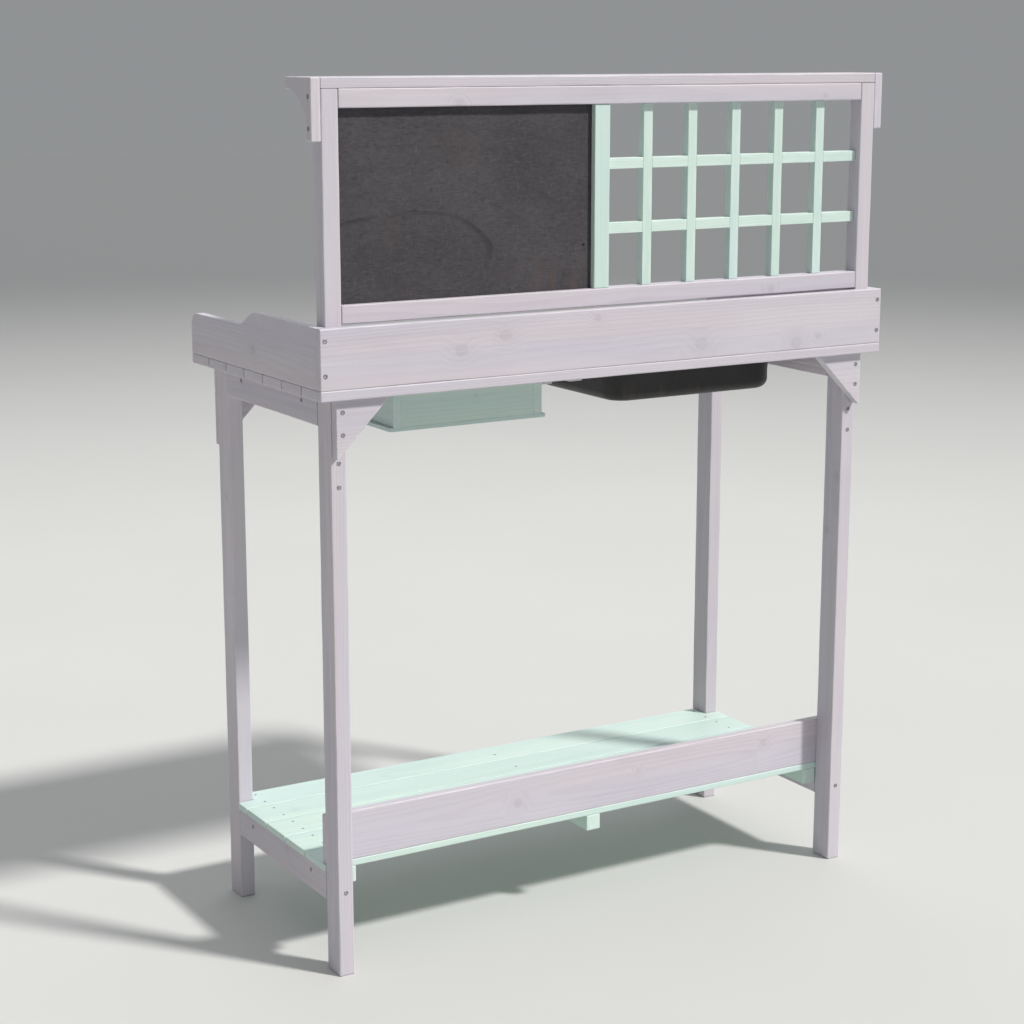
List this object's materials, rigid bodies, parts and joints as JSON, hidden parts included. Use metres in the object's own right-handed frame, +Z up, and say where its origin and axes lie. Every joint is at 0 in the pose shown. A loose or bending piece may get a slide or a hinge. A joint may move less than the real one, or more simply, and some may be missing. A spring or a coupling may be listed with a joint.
{
  "type": "potting bench",
  "caption": "Wooden potting bench with slatted worktop tray, drop-in basin, drawer, low storage shelf and a hutch holding a chalkboard and lattice.",
  "frame": {"origin": "on the ground under the middle of the worktop", "axes": "+Z up; -Y is the front, where the user stands; +Y is the hutch and back board side; +X is the user's right"},
  "size_m": [0.9848, 0.4504, 1.29],
  "materials": {
    "lilac_wood": "thin satin outdoor paint over planed softwood, grain and knots showing through",
    "mint_wood": "thin satin outdoor paint over planed softwood, grain showing through",
    "chalkboard": "matt chalkboard paint on plywood",
    "basin_plastic": "moulded matt plastic",
    "fastener_steel": "dull zinc plating"
  },
  "bodies": {
    "bench": {"leg_front_left": "lilac_wood", "leg_front_right": "lilac_wood", "leg_back_left": "lilac_wood", "leg_back_right": "lilac_wood", "upper_rail_left": "lilac_wood", "upper_rail_right": "lilac_wood", "lower_rail_left": "lilac_wood", "lower_rail_right": "lilac_wood", "front_apron_left": "lilac_wood", "front_apron_right": "lilac_wood", "front_gussets": "lilac_wood", "back_gussets": "lilac_wood", "worktop_cleats": "lilac_wood", "worktop_board_1": "lilac_wood", "worktop_board_2": "lilac_wood", "worktop_board_3": "lilac_wood", "worktop_board_4": "lilac_wood", "worktop_board_5": "lilac_wood", "worktop_board_6": "lilac_wood", "worktop_board_7": "lilac_wood", "worktop_stubs": "lilac_wood", "back_board": "lilac_wood", "side_board_left": "lilac_wood", "side_board_right": "lilac_wood", "post_left": "lilac_wood", "post_right": "lilac_wood", "hutch_top_rail": "lilac_wood", "hutch_bottom_rail": "lilac_wood", "lattice_divider": "mint_wood", "chalkboard": "chalkboard", "lattice_upright_1": "mint_wood", "lattice_upright_2": "mint_wood", "lattice_upright_3": "mint_wood", "lattice_upright_4": "mint_wood", "lattice_upright_5": "mint_wood", "lattice_bar_lower": "mint_wood", "lattice_bar_upper": "mint_wood", "top_shelf": "lilac_wood", "bracket_left": "lilac_wood", "bracket_right": "lilac_wood", "shelf_cleats": "mint_wood", "shelf_slat_1": "mint_wood", "shelf_slat_2": "mint_wood", "shelf_slat_3": "mint_wood", "shelf_slat_4": "mint_wood", "shelf_slat_5": "mint_wood", "guard_board": "lilac_wood", "drawer_runner_left": "lilac_wood", "drawer_runner_right": "lilac_wood", "screws": "fastener_steel", "nails": "fastener_steel"},
    "drawer": {"drawer_front": "mint_wood", "drawer_side_left": "mint_wood", "drawer_side_right": "mint_wood", "drawer_back": "mint_wood", "drawer_bottom": "mint_wood", "drawer_knob": "lilac_wood"},
    "basin": {"basin": "basin_plastic"}
  },
  "joints": [
    {"name": "drawer_slide", "type": "slide", "parent": "bench", "child": "drawer", "axis": [0, -1, 0], "range_m": [0, 0.22]},
    {"name": "basin_lift", "type": "slide", "parent": "bench", "child": "basin", "axis": [0, 0, 1], "range_m": [0, 0.12]}
  ]
}
